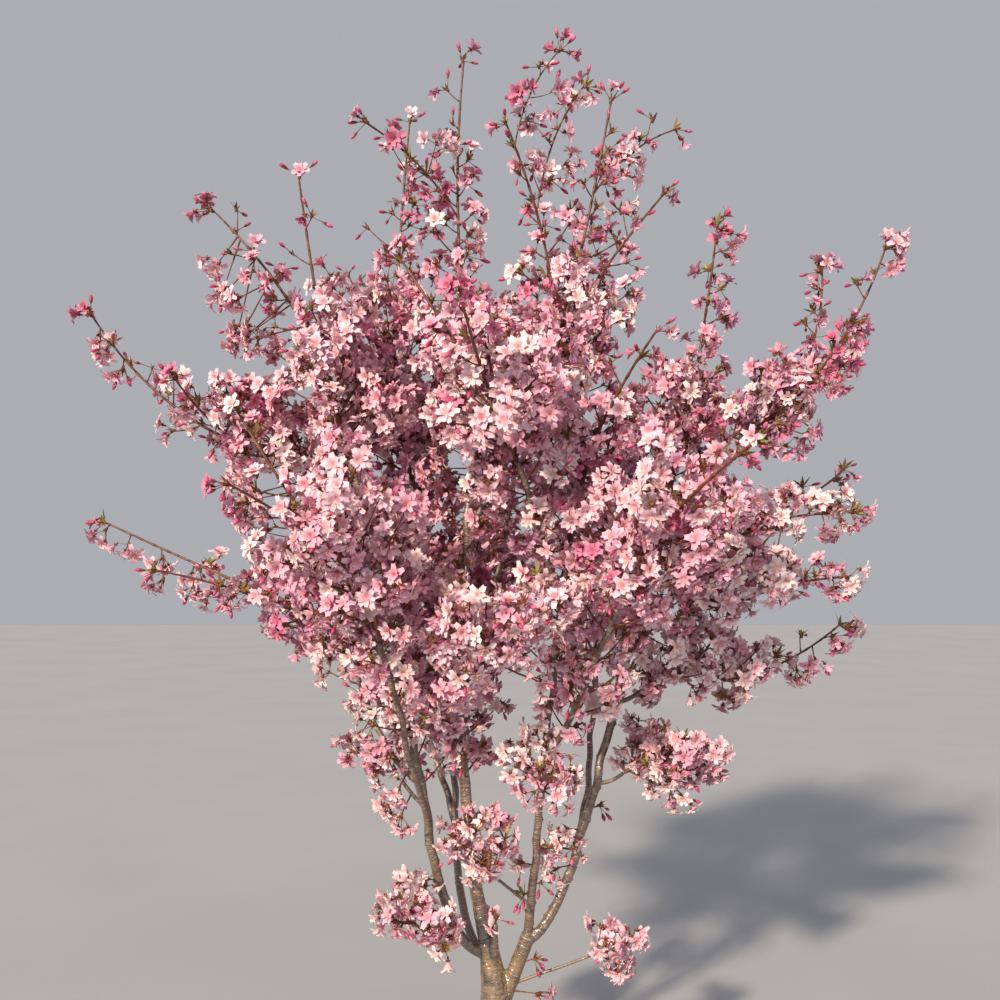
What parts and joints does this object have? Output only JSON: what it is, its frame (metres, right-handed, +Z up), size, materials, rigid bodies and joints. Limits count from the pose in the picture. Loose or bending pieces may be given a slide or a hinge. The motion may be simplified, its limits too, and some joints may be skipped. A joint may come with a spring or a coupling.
{
  "type": "cherry blossom tree",
  "caption": "Young ornamental cherry in full blossom: short trunk forking low, long rising boughs and open masses of pink blossom on fine twigs.",
  "frame": {"origin": "middle of the flat cut under the trunk, at ground level", "axes": "+Z up, -Y towards the viewer of the picture, +X to the viewer's right"},
  "size_m": [1.1002, 0.7566, 1.4122],
  "materials": {
    "bark": "smooth grey-brown cherry bark with pale level dashes",
    "blossom": "soft matt petals, pale to deep pink"
  },
  "bodies": {
    "root": {"blossom_back": "blossom", "blossom_back_left": "blossom", "blossom_back_right": "blossom", "blossom_back_top": "blossom", "blossom_centre": "blossom", "blossom_centre_spur": "blossom", "blossom_crossing_twig": "blossom", "blossom_elbow_spur": "blossom", "blossom_front_high": "blossom", "blossom_front_left": "blossom", "blossom_front_low": "blossom", "blossom_front_right": "blossom", "blossom_inner_left": "blossom", "blossom_leader": "blossom", "blossom_left": "blossom", "blossom_left_low": "blossom", "blossom_left_mid": "blossom", "blossom_left_spur": "blossom", "blossom_low_twig": "blossom", "blossom_right": "blossom", "blossom_right_low": "blossom", "blossom_right_mid": "blossom", "blossom_right_out": "blossom", "blossom_right_spur": "blossom", "blossom_side": "blossom", "blossom_upper_right": "blossom", "bough_back": "bark", "bough_back_left": "bark", "bough_back_right": "bark", "bough_back_top": "bark", "bough_centre": "bark", "bough_centre_spur": "bark", "bough_crossing_twig": "bark", "bough_elbow_spur": "bark", "bough_front_high": "bark", "bough_front_left": "bark", "bough_front_low": "bark", "bough_front_right": "bark", "bough_inner_left": "bark", "bough_leader": "bark", "bough_left": "bark", "bough_left_low": "bark", "bough_left_mid": "bark", "bough_left_spur": "bark", "bough_low_twig": "bark", "bough_right": "bark", "bough_right_fork": "bark", "bough_right_low": "bark", "bough_right_mid": "bark", "bough_right_out": "bark", "bough_right_spur": "bark", "bough_side": "bark", "bough_upper_right": "bark", "trunk": "bark"}
  },
  "joints": []
}
